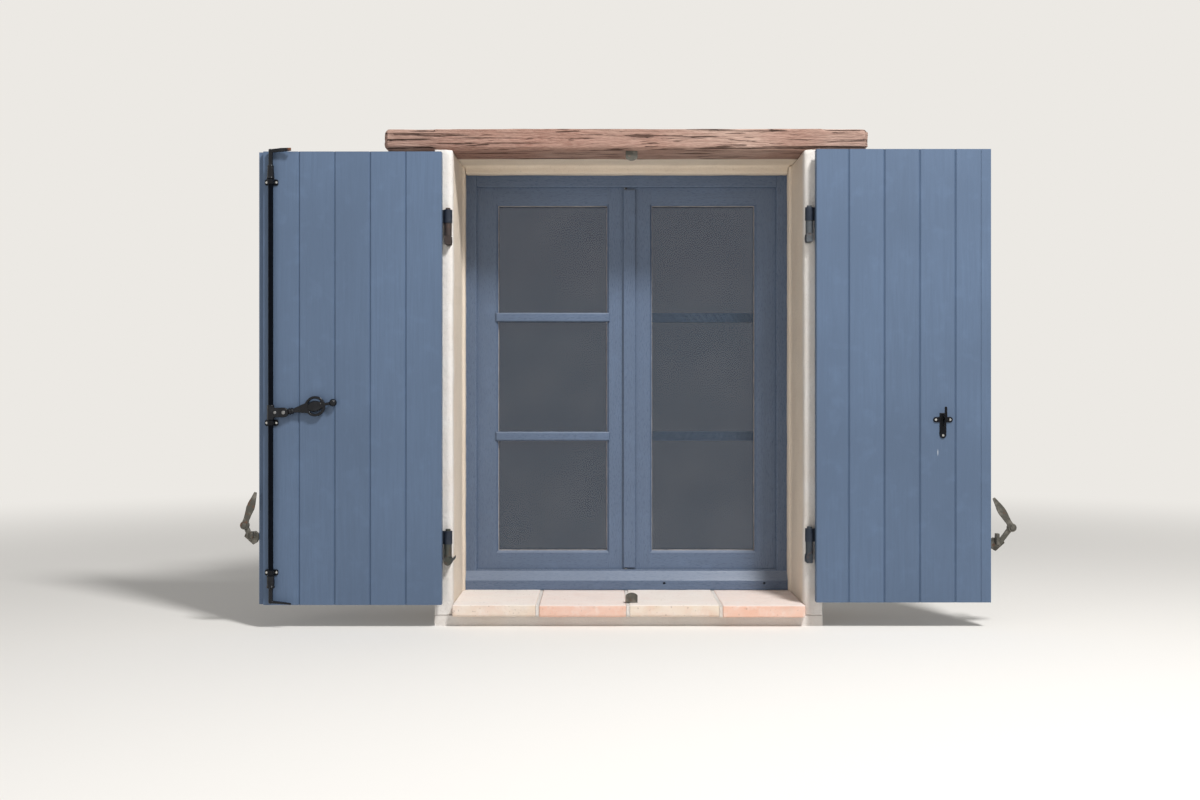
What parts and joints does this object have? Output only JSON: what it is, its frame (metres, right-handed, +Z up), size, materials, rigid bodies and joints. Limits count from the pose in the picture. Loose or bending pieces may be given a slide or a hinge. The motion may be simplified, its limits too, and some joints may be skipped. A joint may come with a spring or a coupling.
{
  "type": "window shutters",
  "caption": "Pair of boarded wooden window shutters on strap hinges, with espagnolette bolt, in a rendered window surround with tiled sill and casement window.",
  "frame": {"origin": "middle between the leaf hinge axes, on the plane of the wall face, at the underside of the sill bed", "axes": "+X to the right along the wall, +Y into the opening, +Z up"},
  "size_m": [2.1708, 0.4695, 1.41],
  "materials": {
    "render": "matte lime render",
    "mortar": "matte mortar",
    "sill_tile": "matte terracotta",
    "window_paint": "satin blue-grey paint on wood",
    "window_glass": "clear",
    "shutter_paint": "matte blue-grey paint on wood",
    "black_iron": "worn black paint",
    "bare_iron": "weathered iron",
    "hinge_steel": "dull zinc plate",
    "screw_steel": "bright steel"
  },
  "bodies": {
    "window_surround": {"sill_bed": "mortar", "sill_tiles": "sill_tile", "reveal_left": "render", "reveal_right": "render", "reveal_head": "render", "window_frame_left": "window_paint", "window_frame_right": "window_paint", "window_frame_head": "window_paint", "window_frame_sill": "window_paint", "window_frame_hinges": "hinge_steel", "sill_stop": "bare_iron", "head_stop": "bare_iron", "pintle_left_lower": "bare_iron", "pintle_left_upper": "bare_iron", "pintle_right_lower": "bare_iron", "pintle_right_upper": "bare_iron", "stay_bracket_left": "bare_iron", "stay_bracket_right": "bare_iron"},
    "left_casement": {"casement_left_stiles": "window_paint", "casement_left_rails": "window_paint", "casement_left_glass": "window_glass", "casement_left_bars": "window_paint", "casement_left_outer_bars": "window_paint", "casement_left_hinges": "hinge_steel", "casement_handle_rose": "hinge_steel"},
    "right_casement": {"casement_right_stiles": "window_paint", "casement_right_rails": "window_paint", "casement_right_glass": "window_glass", "casement_right_bars": "window_paint", "casement_right_bead": "window_paint", "casement_right_hinges": "hinge_steel"},
    "casement_lever": {"casement_handle": "hinge_steel"},
    "left_leaf": {"leaf_left_board_1": "shutter_paint", "leaf_left_board_2": "shutter_paint", "leaf_left_board_3": "shutter_paint", "leaf_left_board_4": "shutter_paint", "leaf_left_board_5": "shutter_paint", "strap_left_lower": "black_iron", "strap_left_upper": "black_iron", "rod_guide_lower": "black_iron", "rod_guide_middle": "black_iron", "rod_guide_upper": "black_iron", "leaf_left_screws": "screw_steel"},
    "right_leaf": {"leaf_right_board_1": "shutter_paint", "leaf_right_board_2": "shutter_paint", "leaf_right_board_3": "shutter_paint", "leaf_right_board_4": "shutter_paint", "leaf_right_board_5": "shutter_paint", "strap_right_lower": "black_iron", "strap_right_upper": "black_iron", "handle_keeper": "black_iron", "leaf_right_screws": "screw_steel"},
    "espagnolette": {"espagnolette_rod": "black_iron", "espagnolette_upper_hook": "black_iron", "espagnolette_lower_hook": "black_iron", "espagnolette_hub": "black_iron", "espagnolette_rivets": "screw_steel"},
    "handle": {"espagnolette_handle": "black_iron"},
    "left_stay": {"stay_paddle_left": "bare_iron"},
    "right_stay": {"stay_paddle_right": "bare_iron"}
  },
  "joints": [
    {"name": "left_leaf_hinge", "type": "hinge", "parent": "window_surround", "child": "left_leaf", "pos_m": [-0.51, -0.015, 0.7], "axis": [0, 0, 1], "range_deg": [0, 180]},
    {"name": "right_leaf_hinge", "type": "hinge", "parent": "window_surround", "child": "right_leaf", "pos_m": [0.51, -0.015, 0.7], "axis": [0, 0, 1], "range_deg": [-180, 0]},
    {"name": "espagnolette_turn", "type": "hinge", "parent": "left_leaf", "child": "espagnolette", "pos_m": [-1, -0.0575, 0.7], "axis": [0, 0, 1], "range_deg": [-180, 0]},
    {"name": "handle_lift", "type": "hinge", "parent": "espagnolette", "child": "handle", "pos_m": [-0.9635, -0.0575, 0.605], "axis": [0, -1, 0], "range_deg": [-14, 55]},
    {"name": "left_casement_hinge", "type": "hinge", "parent": "window_surround", "child": "left_casement", "pos_m": [-0.469, 0.357, 0.7], "axis": [0, 0, 1], "range_deg": [0, 100]},
    {"name": "right_casement_hinge", "type": "hinge", "parent": "window_surround", "child": "right_casement", "pos_m": [0.469, 0.357, 0.7], "axis": [0, 0, 1], "range_deg": [-90, 0]},
    {"name": "casement_lever_turn", "type": "hinge", "parent": "left_casement", "child": "casement_lever", "pos_m": [-0.032, 0.38, 0.69], "axis": [0, 1, 0], "range_deg": [0, 90]},
    {"name": "left_stay_swing", "type": "hinge", "parent": "window_surround", "child": "left_stay", "pos_m": [-1.0754, -0.05, 0.2895], "axis": [0, 1, 0], "range_deg": [0, 20]},
    {"name": "right_stay_swing", "type": "hinge", "parent": "window_surround", "child": "right_stay", "pos_m": [1.0714, -0.05, 0.283], "axis": [0, -1, 0], "range_deg": [0, 64]}
  ],
  "couplings": [
    {"joint": "right_casement_hinge", "follows": "left_casement_hinge", "ratio": -0.9}
  ]
}
